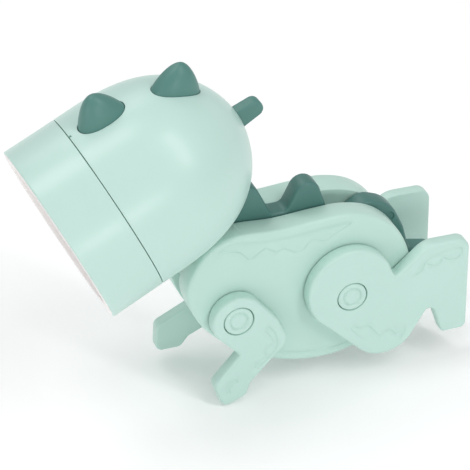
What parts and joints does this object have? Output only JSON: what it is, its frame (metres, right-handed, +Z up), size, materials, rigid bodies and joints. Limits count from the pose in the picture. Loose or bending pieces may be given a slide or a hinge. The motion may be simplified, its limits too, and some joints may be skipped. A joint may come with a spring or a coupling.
{
  "type": "folding dinosaur torch",
  "caption": "Small folding animal torch: bullet-shaped lamp head with fins and a push button, tilting on a flat body with a spiked spine and swinging legs.",
  "frame": {"origin": "middle of the footprint, on the ground under the lowest foot", "axes": "-X is where the animal faces, +Y is its right side, +Z is up"},
  "size_m": [0.1082, 0.0458, 0.0888],
  "materials": {
    "mint_shell": "satin",
    "mint_body": "satin",
    "mint_leg": "satin",
    "dark_green": "satin",
    "lens_white": "satin white ring",
    "clear_lens": "clear polished",
    "reflector_silver": "bright metallised",
    "board_white": "white solder mask",
    "board_green": "green solder mask",
    "led_yellow": "phosphor",
    "contact_brass": "bright",
    "tray_white": "satin",
    "cell_steel": "bright",
    "pin_steel": "bright",
    "switch_black": "satin"
  },
  "bodies": {
    "body": {"left_side_plate": "mint_body", "right_side_plate": "mint_body", "spine_plate": "dark_green", "body_screws": "pin_steel", "neck_arm": "mint_body", "front_left_pin": "mint_leg", "front_right_pin": "mint_leg", "hind_left_pin": "mint_leg", "hind_right_pin": "mint_leg"},
    "head": {"head_shell": "mint_shell", "crest_fin_front": "dark_green", "crest_fin_middle": "dark_green", "switch_case": "switch_black", "switch_board": "board_green", "led_board": "board_white", "led": "led_yellow", "contact_plate": "contact_brass", "battery_tray": "tray_white", "button_cells": "cell_steel", "neck_pin": "pin_steel"},
    "bezel": {"bezel_ring": "mint_shell", "lens_ring": "lens_white", "lens": "clear_lens", "reflector": "reflector_silver"},
    "button": {"crest_button": "dark_green", "switch_plunger": "switch_black"},
    "front_left": {"front_left_leg": "mint_leg"},
    "front_right": {"front_right_leg": "mint_leg"},
    "hind_left": {"hind_left_leg": "mint_leg"},
    "hind_right": {"hind_right_leg": "mint_leg"}
  },
  "joints": [
    {"name": "head_tilt", "type": "hinge", "parent": "body", "child": "head", "pos_m": [-0.02022, 0.00088, 0.06145], "axis": [0, 1, 0], "range_deg": [-5, 30]},
    {"name": "bezel_twist", "type": "hinge", "parent": "head", "child": "bezel", "pos_m": [-0.04464, -0.00045, 0.05], "axis": [0.9042, 0.049, 0.4242], "range_deg": [0, 30]},
    {"name": "button_press", "type": "slide", "parent": "head", "child": "button", "axis": [-0.9042, -0.049, -0.4242], "range_m": [0, 0.0006], "stiffness_N_per_m": 2500},
    {"name": "front_left_swing", "type": "hinge", "parent": "body", "child": "front_left", "pos_m": [-0.00471, -0.01007, 0.02337], "axis": [0, 1, 0], "range_deg": [-30, 45]},
    {"name": "front_right_swing", "type": "hinge", "parent": "body", "child": "front_right", "pos_m": [-0.00471, 0.01333, 0.02337], "axis": [0, 1, 0], "range_deg": [-52, 23]},
    {"name": "hind_left_swing", "type": "hinge", "parent": "body", "child": "hind_left", "pos_m": [0.02399, -0.01007, 0.02337], "axis": [0, 1, 0], "range_deg": [-25, 70]},
    {"name": "hind_right_swing", "type": "hinge", "parent": "body", "child": "hind_right", "pos_m": [0.02399, 0.01333, 0.02337], "axis": [0, 1, 0], "range_deg": [-25, 70]}
  ]
}
